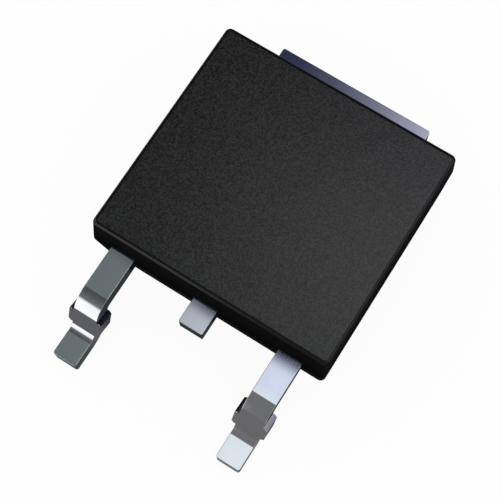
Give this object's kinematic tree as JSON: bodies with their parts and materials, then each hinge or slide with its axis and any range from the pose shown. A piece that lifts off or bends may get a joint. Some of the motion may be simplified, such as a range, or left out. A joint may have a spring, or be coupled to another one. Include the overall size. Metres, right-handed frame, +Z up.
{
  "type": "power transistor",
  "caption": "Surface-mount power transistor: flat black moulded body, soldered metal tab, two bent outer leads and a cut middle lead, with die and bond wires inside.",
  "frame": {"origin": "on the board's plane, under the centre of the moulded body", "axes": "+Z up from the board, +Y towards the metal tab, the leads leave towards -Y, gate lead at -X and source lead at +X"},
  "size_m": [0.0064, 0.0096, 0.0023],
  "materials": {
    "moulding_compound": "matt black epoxy moulding with a fine spark-eroded grain on its top",
    "tin_plate": "bright tin plating on copper sheet",
    "solder": "dull soft solder",
    "silicon": "polished silicon with bright metal contacts",
    "bond_wire": "drawn aluminium wire, pressed flat at both ends"
  },
  "bodies": {
    "root": {"moulded_body": "moulding_compound", "heat_spreader": "tin_plate", "gate_lead": "tin_plate", "source_lead": "tin_plate", "silicon_die": "silicon", "die_solder": "solder", "gate_wire": "bond_wire", "source_wire_inner": "bond_wire", "source_wire_outer": "bond_wire"}
  },
  "joints": []
}
